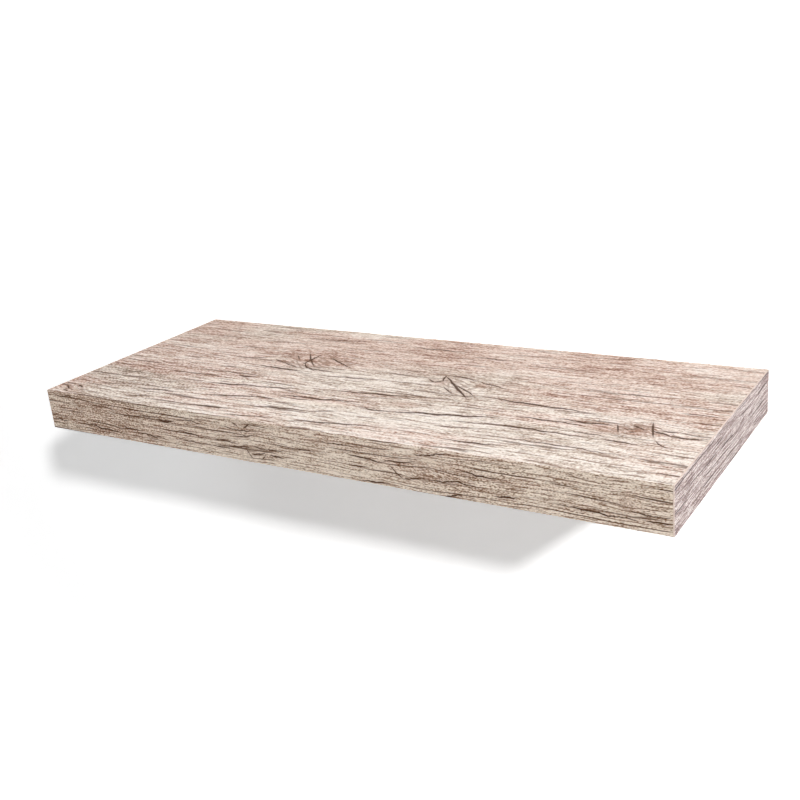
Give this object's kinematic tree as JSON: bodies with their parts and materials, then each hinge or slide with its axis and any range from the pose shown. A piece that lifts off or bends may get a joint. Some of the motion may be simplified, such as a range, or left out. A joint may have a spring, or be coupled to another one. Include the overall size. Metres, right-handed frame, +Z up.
{
  "type": "wall shelf",
  "caption": "Rectangular floating wall shelf: a wood-decor board that slides onto the rods of a concealed steel wall bracket.",
  "frame": {"origin": "centre of the wall bar's back face, in the plane of the wall", "axes": "+X along the board, +Y into the wall, +Z up; the front edge is at -Y"},
  "size_m": [0.6, 0.286, 0.038],
  "materials": {
    "decor_foil": "matt printed foil, weathered old-pine grain with an open-pore emboss",
    "edge_band": "printed matt edge band with a light cut edge",
    "fibreboard": "raw brown fibreboard",
    "particleboard": "raw chips",
    "comb_paper": "kraft paper",
    "insert_brass": "turned brass",
    "black_steel": "black oxide",
    "zinc_steel": "zinc plated",
    "weld_steel": "zinc plated weld bead",
    "zinc_screw": "bright zinc plated",
    "nylon": "grey nylon"
  },
  "bodies": {
    "bracket": {"wall_bar": "zinc_steel", "rod_left": "zinc_steel", "rod_right": "zinc_steel", "weld_rings": "weld_steel", "wall_screws": "zinc_screw", "wall_plugs": "nylon"},
    "board": {"decor_wrap": "decor_foil", "end_band_left": "edge_band", "end_band_right": "edge_band", "top_skin": "fibreboard", "bottom_skin": "fibreboard", "front_rail": "particleboard", "end_stile_left": "particleboard", "end_stile_right": "particleboard", "back_rail": "particleboard", "rod_block_left": "particleboard", "rod_block_right": "particleboard", "honeycomb_left": "comb_paper", "honeycomb_middle": "comb_paper", "honeycomb_right": "comb_paper", "insert_nuts": "insert_brass"},
    "lock_screw_left": {"lock_screw_left": "black_steel"},
    "lock_screw_right": {"lock_screw_right": "black_steel"}
  },
  "joints": [
    {"name": "board_slide", "type": "slide", "parent": "bracket", "child": "board", "axis": [0, -1, 0], "range_m": [0, 0.15]},
    {"name": "lock_screw_left_travel", "type": "slide", "parent": "board", "child": "lock_screw_left", "axis": [0, 0, -1], "range_m": [0, 0.006]},
    {"name": "lock_screw_right_travel", "type": "slide", "parent": "board", "child": "lock_screw_right", "axis": [0, 0, -1], "range_m": [0, 0.006]}
  ]
}
